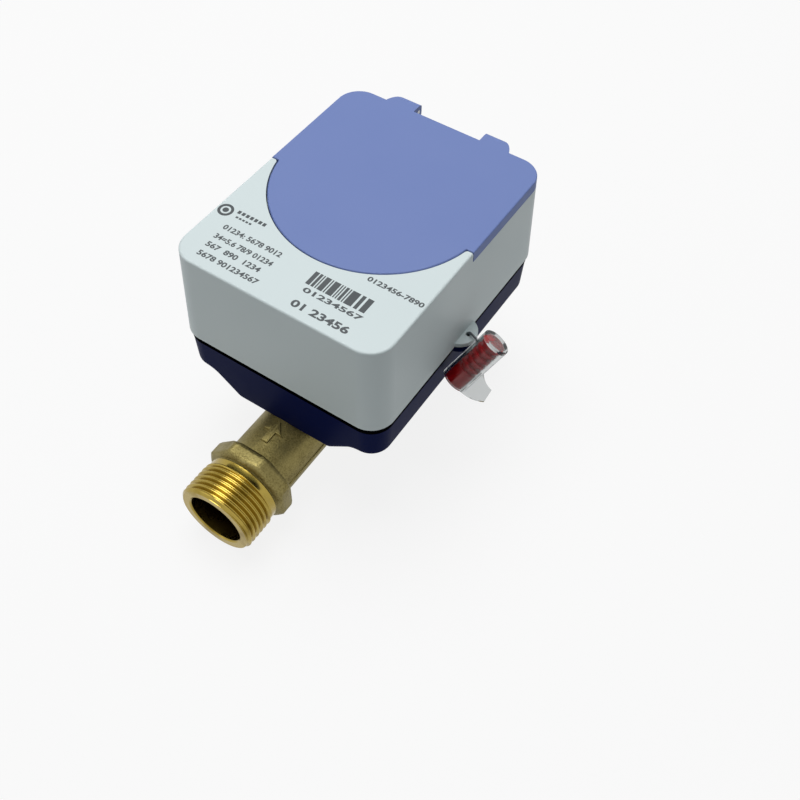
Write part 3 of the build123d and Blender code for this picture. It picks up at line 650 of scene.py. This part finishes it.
def cut_across(shape, place, normal, keep_all=False):
    """Cuts a shape by a plane and clears what lies in front of it, unless all is kept."""
    bmesh.ops.bisect_plane(
        shape,
        geom=shape.verts[:] + shape.edges[:] + shape.faces[:],
        plane_co=place,
        plane_no=normal,
        clear_outer=not keep_all,
    )


def ring_out(shape, edges, radius, y):
    """Grows a new ring from a rim and sets its radius about the tube's axis and its y."""
    grown = bmesh.ops.extrude_edge_only(shape, edges=edges)["geom"]
    for vert in verts_in(grown):
        scale = radius / sqrt(vert.co.x**2 + vert.co.z**2)
        vert.co = Vector((vert.co.x * scale, y, vert.co.z * scale))
    return [e for e in grown if isinstance(e, bmesh.types.BMEdge)]


# %% [markdown]
# ## The threaded ends
# A pipe thread is one groove that winds along the end of the tube. Its profile over one
# pitch is drawn once and spun about the axis with a step along it, which lays turn beside
# turn. Relief in the shader would be quicker, but the crests show in the outline. The
# seams between turns are merged, and two planes trim the ends. Then the first millimetre
# is held inside a chamfer, and the last turn runs out into the plain band.

# %% Sizes of the threaded ends
thread_pitch = 2.309
thread_radius = 16.62
root_radius = 15.25
band_start = 15.3
band_end = 18.0
band_radius = 15.9
mouth_chamfer = 1.1
run_out = 1.2
band_bevel = 0.2
mouth_radius = 12.5
mouth_depth = 0.6
bore_joint = 8
seat_radius = 10.2
seat_start = 15
steps_per_turn = 96
thread_turns = 10
thread_profile = [(0, 0), (0.08, 0.03), (0.17, 0.28), (0.33, 0.74), (0.42, 0.97), (0.5, 1)]
thread_profile += [(1 - at, high) for at, high in reversed(thread_profile[:-1])]
print("the thread is", round(thread_radius - root_radius, 2), "mm deep")


# %% Threaded end
def held_radius(y):
    """The largest radius that the chamfer at the mouth of the tube allows."""
    return thread_radius - max(0, mouth_chamfer - y)


def threaded_end():
    """The machined end of the tube, with its thread, plain band and mouth."""
    shape = bmesh.new()
    points = []
    for at, high in thread_profile:
        radius = root_radius + high * (thread_radius - root_radius)
        points.append(shape.verts.new((0, (at - 2) * thread_pitch, radius)))
    line = [shape.edges.new(pair) for pair in zip(points, points[1:])]
    bmesh.ops.spin(
        shape,
        geom=points + line,
        cent=(0, 0, 0),
        axis=(0, 1, 0),
        dvec=(0, thread_pitch / steps_per_turn, 0),
        angle=2 * pi * thread_turns,
        steps=steps_per_turn * thread_turns,
    )
    bmesh.ops.remove_doubles(shape, verts=shape.verts, dist=0.002)
    for height, way in ((0, -1), (band_start, 1)):
        cut_across(shape, (0, height, 0), (0, way, 0))
    for vert in shape.verts:
        radius = sqrt(vert.co.x**2 + vert.co.z**2)
        fade = min(1, max(0, (vert.co.y - band_start + run_out) / run_out))
        wanted = min(radius, held_radius(vert.co.y)) * (1 - fade) + band_radius * fade
        vert.co.x *= wanted / radius
        vert.co.z *= wanted / radius
    rims = [e for e in shape.edges if e.is_boundary]
    front = [e for e in rims if e.verts[0].co.y + e.verts[1].co.y < band_start]
    back = [e for e in rims if e not in front]
    front = ring_out(shape, front, mouth_radius, 0)
    front = ring_out(shape, front, bore_radius, mouth_depth)
    front = ring_out(shape, front, bore_radius, bore_joint)
    back = ring_out(shape, back, band_radius, band_end - band_bevel)
    back = ring_out(shape, back, band_radius - band_bevel, band_end)
    back = ring_out(shape, back, seat_radius, band_end)
    back = ring_out(shape, back, bore_radius, seat_start)
    bmesh.ops.bridge_loops(shape, edges=front + back)
    return shape


inlet_end = piece_of(threaded_end(), "inlet_threaded_end", thread_finish)
outlet_shape = threaded_end()
tube_middle = (0, meter_length / 2, 0)
half_turn = Matrix.Rotation(pi, 3, "Z")
bmesh.ops.rotate(outlet_shape, cent=tube_middle, matrix=half_turn, verts=outlet_shape.verts)
outlet_end = piece_of(outlet_shape, "outlet_threaded_end", thread_finish)
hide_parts("flow_tube")
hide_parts("flow_tube")

# %% [markdown]
# ## The casting
# The rest of the tube stays as it was cast. Its shape is the CAD model's, so it is a copy
# of that mesh with the two machined ends cut off and each cut closed by a ring. Cuts every
# 3 mm shorten its long triangles, so that the shading stays even along the tube.

# %% Casting
end_gap = 0.02
cut_spacing = 3
cut_count = int((meter_length - 2 * band_end) / cut_spacing)
casting_shape = bmesh.new()
casting_shape.from_mesh(nodes["flow_tube"].data)
bmesh.ops.scale(casting_shape, vec=(1000, 1000, 1000), verts=casting_shape.verts)
bmesh.ops.remove_doubles(casting_shape, verts=casting_shape.verts, dist=0.001)
for cut, way in ((band_end + end_gap, -1), (meter_length - band_end - end_gap, 1)):
    cut_across(casting_shape, (0, cut, 0), (0, way, 0))
    open_rims = [e for e in casting_shape.edges if e.is_boundary]
    bmesh.ops.bridge_loops(casting_shape, edges=open_rims)
for step in range(1, cut_count + 1):
    cut_across(casting_shape, (0, band_end + cut_spacing * step, 0), (0, 1, 0), keep_all=True)
casting = piece_of(casting_shape, "brass_casting", cast_finish)
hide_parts("flow_tube")

# %% [markdown]
# Where the two halves of the sand mould met, the casting keeps a low ridge along each
# side. It could be pulled out of the tube's own mesh, but a separate bar leaves the copy
# of the CAD model alone. The bar has its edges beveled and is sunk most of its depth.

# %% Parting ridges
ridge_start = 25.5
ridge_depth, ridge_thickness, ridge_inset = 1.4, 1.3, 0.3
cast_edge = 0.35
ridge_size = (ridge_depth, meter_length - 2 * ridge_start, ridge_thickness)
rounding = {"offset": cast_edge, "affect": "EDGES", "segments": 3, "profile": 0.5, "material": -1}
for side, word in ((1, "right"), (-1, "left")):
    ridge = bmesh.new()
    bmesh.ops.create_cube(ridge, size=1)
    bmesh.ops.scale(ridge, vec=ridge_size, verts=ridge.verts)
    ridge_place = (side * (tube_radius - ridge_inset), meter_length / 2, 0)
    bmesh.ops.translate(ridge, vec=ridge_place, verts=ridge.verts)
    bmesh.ops.bevel(ridge, geom=ridge.edges[:], **rounding)
    piece_of(ridge, "parting_ridge_" + word, cast_finish)

# %% [markdown]
# An arrow cast on top of the tube shows which way the water flows. It stands up far enough
# to throw a shade, so it is a mesh. A flat arrow is drawn, cut into narrow strips so that
# it can bend, and thickened. Then its points are dropped onto the tube.

# %% Flow arrow
arrow_tip, arrow_shoulder, arrow_tail = 43.5, 38.2, 32.6
head_half, stem_half = 4.2, 1.5
arrow_height, arrow_sunk = 1.3, 0.6
strip_width, strips_per_side = 0.95, 4
arrow = bmesh.new()
outline = [(0, arrow_tip), (-head_half, arrow_shoulder), (-stem_half, arrow_shoulder)]
outline += [(-stem_half, arrow_tail), (stem_half, arrow_tail)]
outline += [(stem_half, arrow_shoulder), (head_half, arrow_shoulder)]
arrow.faces.new([arrow.verts.new((x, y, 0)) for x, y in outline])
for strip in range(-strips_per_side, strips_per_side + 1):
    cut_across(arrow, (strip_width * strip, 0, 0), (1, 0, 0), keep_all=True)
raised = bmesh.ops.extrude_face_region(arrow, geom=arrow.faces[:])["geom"]
bmesh.ops.translate(arrow, vec=(0, 0, arrow_height), verts=verts_in(raised))
bmesh.ops.recalc_face_normals(arrow, faces=arrow.faces)
top_edges = [e for e in arrow.edges if min(v.co.z for v in e.verts) > 1]
rim = [e for e in top_edges if e.calc_face_angle() > 1]
bmesh.ops.bevel(arrow, geom=rim, **rounding)
for vert in arrow.verts:
    vert.co.z += sqrt(tube_radius**2 - vert.co.x**2) - arrow_sunk
piece_of(arrow, "flow_arrow", cast_finish)

# %% [markdown]
# ## Painted shade along the seam
# A thin black band in the gasket's rubber finish rings the base just under the cover's
# edge. It is painted shade: a dark strip that stands for the shadow in the seam between
# cover and base. The base's own box gives the size of the strip. Its outline is drawn as one
# face, an inner line is inset, the middle goes, and the border is raised. A face made from
# vertices has no normal until normal_update is called, so this inset has no width: the
# strip is two walls in one place. It looks right, because only its outside is seen.

# %% Painted seam shade
base_low, base_high = (Vector(corner) * 1000 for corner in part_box("base_housing"))
cover_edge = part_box("casing_gasket")[0][2] * 1000
seam_shade_proud, seam_shade_depth, seam_shade_height, seam_shade_corner = 0.03, 0.5, 2.6, 9.25
seam_shade_middle = (base_low.y + base_high.y) / 2
half_width = seam_shade_proud - base_low.x
half_length = seam_shade_proud + (base_high.y - base_low.y) / 2
steps_per_corner = 12
# This strip is painted shade, a black band where the seam's shadow falls under the cover's edge.
seam_shade = bmesh.new()
seam_shade_outline = []
for quarter, (side, end) in enumerate(((1, 1), (-1, 1), (-1, -1), (1, -1))):
    for step in range(steps_per_corner + 1):
        angle = (quarter + step / steps_per_corner) * pi / 2
        x = side * (half_width - seam_shade_corner) + seam_shade_corner * cos(angle)
        y = seam_shade_middle + end * (half_length - seam_shade_corner) + seam_shade_corner * sin(angle)
        seam_shade_outline.append(seam_shade.verts.new((x, y, cover_edge - seam_shade_height)))
seam_shade_face = seam_shade.faces.new(seam_shade_outline)
inward = {"use_boundary": True, "use_even_offset": True}
bmesh.ops.inset_region(seam_shade, faces=[seam_shade_face], thickness=seam_shade_depth, **inward)
bmesh.ops.delete(seam_shade, geom=[seam_shade_face], context="FACES")
thickened = bmesh.ops.extrude_face_region(seam_shade, geom=seam_shade.faces[:])["geom"]
bmesh.ops.translate(seam_shade, vec=(0, 0, seam_shade_height), verts=verts_in(thickened))
piece_of(seam_shade, "painted_seam_shade", gasket_finish)

# %% [markdown]
# ## Print on the cover
# The cover carries dark screen print: a ring, rows of figures that only count up, and bars.
# A picture on the cover would need a file and blur when seen close, so figures become
# meshes a few hundredths of a millimetre thick, which lie on the plastic as ink does.

# %% Ink
ink_finish = moulded("print_ink", (44, 52, 56), (60, 68, 72), 0.5, 0.6, wear=0.0)
cover_top = 83.0
ink_thickness = 0.03
drawn_half_depth = 0.5
print("ink lies", cover_top, "mm above the tube's axis")


def printed_row(name, figures, x, y, height, width, boldness):
    """Figures printed on the cover, their left end at x, y, and stretched to a width."""
    curve = bpy.data.curves.new(name, "FONT")
    curve.body = figures
    curve.size = 1.0
    curve.offset = boldness
    curve.extrude = drawn_half_depth
    curve.resolution_u = 3
    text = bpy.data.objects.new(name, curve)
    scene.collection.objects.link(text)
    bpy.context.view_layer.update()
    dependencies = bpy.context.evaluated_depsgraph_get()
    flat = bpy.data.meshes.new_from_object(text.evaluated_get(dependencies))
    bpy.data.objects.remove(text)
    shape = bmesh.new()
    shape.from_mesh(flat)
    bmesh.ops.remove_doubles(shape, verts=shape.verts, dist=0.0001)
    low = [min(v.co[i] for v in shape.verts) for i in range(2)]
    span = [max(v.co[i] for v in shape.verts) - low[i] for i in range(2)]
    bmesh.ops.translate(shape, vec=(-low[0], -low[1], drawn_half_depth), verts=shape.verts)
    stretch = (width / span[0], height / span[1], ink_thickness)
    bmesh.ops.scale(shape, vec=stretch, verts=shape.verts)
    bmesh.ops.translate(shape, vec=(x, y, cover_top), verts=shape.verts)
    return piece_of(shape, name, ink_finish)


# %% Rows of figures
plain, bold = 0.03, 0.035
rows = [
    ("print_row_1", "01234: 5678 9012", -36.3, 64.1, 2.6, 26.0, plain),
    ("print_row_2", "34=5.6 78/9 01234", -36.1, 58.8, 2.6, 25.8, plain),
    ("print_row_3", "567  890  1234", -36.0, 54.1, 2.6, 23.9, plain),
    ("print_row_4", "5678 901234567", -35.8, 49.1, 2.6, 26.6, plain),
    ("print_number", "01234567", 5.5, 55.9, 2.4, 24.5, plain),
    ("print_bold_row", "01 23456", 5.7, 48.4, 3.4, 23.7, bold),
    ("print_right_row", "0123456-7890", 21.0, 72.7, 2.4, 23.1, plain),
]
for row in rows:
    printed_row(*row)

# %% [markdown]
# The bars are plain upright blocks whose widths follow a short list, so they say nothing.
# Every second width is a gap.


# %% Bars
def add_block(shape, left, y, width, height):
    """Adds a flat block of ink to a shape, its left edge at a given x."""
    block = bmesh.ops.create_cube(shape, size=1)["verts"]
    bmesh.ops.scale(shape, vec=(width, height, ink_thickness), verts=block)
    block_middle = (left + width / 2, y, cover_top + ink_thickness / 2)
    bmesh.ops.translate(shape, vec=block_middle, verts=block)


bar_x, bar_y, bar_height = 4.3, 62.9, 6.7
widths = [1.7, 0.5, 1.1, 0.5, 0.5, 0.5, 2.1, 0.5, 0.5, 0.5, 2.5, 0.5, 0.5]
widths += [0.5, 0.5, 0.5, 1.1, 0.5, 0.5, 0.5, 3.2, 0.9, 1.4, 0.9, 2.3]
bars = bmesh.new()
for index, width in enumerate(widths):
    if index % 2 == 0:
        add_block(bars, bar_x, bar_y, width, bar_height)
    bar_x += width
piece_of(bars, "print_bars", ink_finish)

# %% [markdown]
# The ring starts as two flat discs. The larger one is inset and loses its middle, the
# smaller one stays as the dot, and both are thickened in one step.

# %% Ring with a dot
ring_radius, ring_border, dot_radius = 3.1, 1.1, 1.2
ring_x, ring_y = -41.2, 72.4
ring = bmesh.new()
for radius in (ring_radius, dot_radius):
    bmesh.ops.create_circle(ring, cap_ends=True, segments=48, radius=radius)
outer_face = max(ring.faces, key=lambda face: face.calc_area())
bmesh.ops.inset_region(ring, faces=[outer_face], thickness=ring_border, **inward)
bmesh.ops.delete(ring, geom=[outer_face], context="FACES")
solid = bmesh.ops.extrude_face_region(ring, geom=ring.faces[:])["geom"]
bmesh.ops.translate(ring, vec=(0, 0, ink_thickness), verts=verts_in(solid))
bmesh.ops.translate(ring, vec=(ring_x, ring_y, cover_top), verts=ring.verts)
piece_of(ring, "print_ring", ink_finish)

# %% [markdown]
# Beside the ring are two rows of dashes. Each row is given by the left end of its first
# dash, its y, the width and height of a dash, the step and the number of dashes.

# %% Dashes
dash_rows = [(-36.8, 74.2, 1.3, 1.6, 1.9, 7), (-35.8, 71.6, 1.0, 0.9, 1.5, 5)]
dashes = bmesh.new()
for left, y, width, height, step, count in dash_rows:
    for index in range(count):
        add_block(dashes, left + index * step, y, width, height)
piece_of(dashes, "print_dashes", ink_finish)

# %% [markdown]
# ## What the lid hides
# Under the lid, the display shows a count in seven-segment figures. Text in Blender's own
# font would look different, so each segment is a flat six-sided bar, and a short table
# says which segments stay unlit in each figure.

# %% Display figures
segment_ends = {
    "top": ((0, 2), (1, 2)),
    "upper_left": ((0, 1), (0, 2)),
    "upper_right": ((1, 1), (1, 2)),
    "middle": ((0, 1), (1, 1)),
    "lower_left": ((0, 0), (0, 1)),
    "lower_right": ((1, 0), (1, 1)),
    "bottom": ((0, 0), (1, 0)),
}
unlit_segments = {
    "0": ["middle"],
    "1": ["top", "upper_left", "middle", "lower_left", "bottom"],
    "2": ["upper_left", "lower_right"],
    "3": ["upper_left", "lower_left"],
    "4": ["top", "lower_left", "bottom"],
}
figure_start, figure_step = -24.4, 6.4
figure_width, segment_length = 3.9, 5.2
segment_half, segment_gap, segment_point, segment_lift = 0.55, 0.1, 0.6, 0.04
display_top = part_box("lcd_panel")[1][2] * 1000
window_centre = sum(corner[1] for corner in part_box("display_window")) * 500
segments = bmesh.new()
for index, figure in enumerate("00001234"):
    left = figure_start + index * figure_step
    corner_place = Vector((left, window_centre - segment_length, display_top))
    for name, ends in segment_ends.items():
        if name in unlit_segments[figure]:
            continue
        steps = [Vector((x * figure_width, y * segment_length, 0)) for x, y in ends]
        first, last = (corner_place + step for step in steps)
        run = (last - first).normalized()
        side = Vector((-run.y, run.x, 0)) * segment_half
        tip, shoulder = run * segment_gap, run * segment_point
        outline = [first + tip, first + shoulder + side, last - shoulder + side]
        outline += [last - tip, last - shoulder - side, first + shoulder - side]
        face = segments.faces.new([segments.verts.new(point) for point in outline])
        lifted = bmesh.ops.extrude_face_region(segments, geom=[face])["geom"]
        bmesh.ops.translate(segments, vec=(0, 0, segment_lift), verts=verts_in(lifted))
piece_of(segments, "display_figures", ink_finish)

# %% [markdown]
# Four screws hold the base and the cover together from below. Each has a low domed head
# with a cross in it. One screw is spun from its profile, two crossed blocks are cut out of
# its head by a boolean modifier, which joins both arms cleanly, and the result is copied.

# %% Screws with a cross
screw_low, screw_high = (Vector(corner) * 1000 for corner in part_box("casing_screws"))
head_radius, head_height, shank_radius, cross_depth = 2.9, 2.2, 1.45, 1.3
head_profile = [(0, 0), (1.6, 0.08), (2.4, 0.4), (head_radius, 1.2), (head_radius, head_height)]
screw_length = screw_high.z - screw_low.z
point_radius, point_length = 1.0, 0.5
shank_profile = [(shank_radius, head_height), (shank_radius, screw_length - point_length)]
shank_profile += [(point_radius, screw_length), (0, screw_length)]
one_screw = bmesh.new()
screw_profile = head_profile + shank_profile
points = [one_screw.verts.new((radius, 0, height)) for radius, height in screw_profile]
outline = [one_screw.edges.new(pair) for pair in zip(points, points[1:])]
bmesh.ops.spin(
    one_screw,
    geom=points + outline,
    cent=(0, 0, 0),
    axis=(0, 0, 1),
    angle=2 * pi,
    steps=48,
    use_merge=True,
)
bmesh.ops.remove_doubles(one_screw, verts=one_screw.verts, dist=0.001)
bmesh.ops.recalc_face_normals(one_screw, faces=one_screw.faces)
cross_length, cross_width = 3.6, 0.75
cutter = bmesh.new()
for size_x, size_y in ((cross_length, cross_width), (cross_width, cross_length)):
    block_size = (size_x, size_y, 2 * cross_depth)
    block = bmesh.ops.create_cube(cutter, size=1)["verts"]
    bmesh.ops.scale(cutter, vec=block_size, verts=block)
scratch = []
for label, shape in (("screw_blank", one_screw), ("screw_cutter", cutter)):
    mesh = bpy.data.meshes.new(label)
    shape.to_mesh(mesh)
    shape.free()
    scratch.append(bpy.data.objects.new(label, mesh))
    scene.collection.objects.link(scratch[-1])
cut = scratch[0].modifiers.new("cross", "BOOLEAN")
cut.operation = "DIFFERENCE"
cut.object = scratch[1]
cut.use_self = True
dependencies = bpy.context.evaluated_depsgraph_get()
finished = bpy.data.meshes.new_from_object(scratch[0].evaluated_get(dependencies))
for thing in scratch:
    bpy.data.objects.remove(thing)
screws = bmesh.new()
for x in (screw_low.x + head_radius, screw_high.x - head_radius):
    for y in (screw_low.y + head_radius, screw_high.y - head_radius):
        already = set(screws.verts)
        screws.from_mesh(finished)
        added = [v for v in screws.verts if v not in already]
        bmesh.ops.translate(screws, vec=(x, y, screw_low.z), verts=added)
screw_piece = piece_of(screws, "casing_screws_with_cross", finishes["screw_steel"])
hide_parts("casing_screws")
